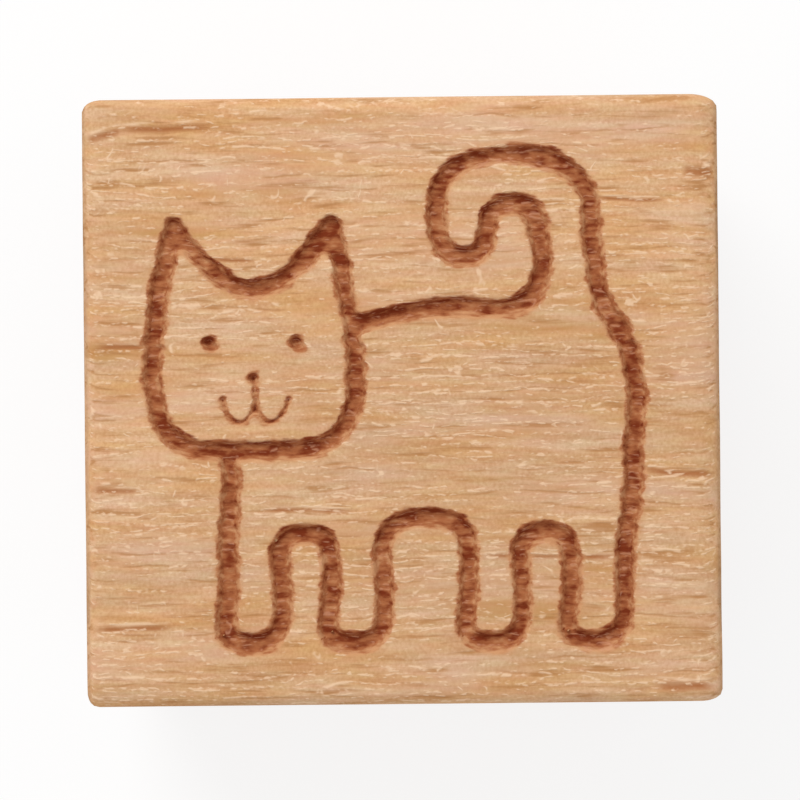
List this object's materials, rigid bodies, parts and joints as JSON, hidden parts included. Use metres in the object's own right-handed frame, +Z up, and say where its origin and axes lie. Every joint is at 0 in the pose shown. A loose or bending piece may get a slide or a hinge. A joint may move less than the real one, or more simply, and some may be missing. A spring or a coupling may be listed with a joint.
{
  "type": "rubber stamp",
  "caption": "Wood-mounted craft stamp: an engraved hardwood block on a foam cushion and a rubber die with a cat in relief.",
  "frame": {"origin": "middle of the printing plane, on the surface that the stamp stands on", "axes": "+Z up through the block, +X along the wood's grain to the right of the picture, +Y to the picture's top"},
  "size_m": [0.025, 0.024, 0.0195],
  "materials": {
    "hardwood": "fine sanded, unvarnished, with burnt brown lines",
    "adhesive_film": "clear, slightly milky, glossy at the cut edge",
    "foam": "matt closed-cell foam, cut edges",
    "die_rubber": "matt vulcanised rubber, smooth printing lines and a rough engraved floor"
  },
  "bodies": {
    "handle": {"wood_block": "hardwood", "block_film": "adhesive_film", "foam_cushion": "foam"},
    "printing_die": {"die_film": "adhesive_film", "rubber_die": "die_rubber"}
  },
  "joints": [
    {"name": "cushion_press", "type": "slide", "parent": "handle", "child": "printing_die", "axis": [0, 0, 1], "range_m": [0, 0.0006], "stiffness_N_per_m": 50000, "deforming": ["foam_cushion"]}
  ]
}
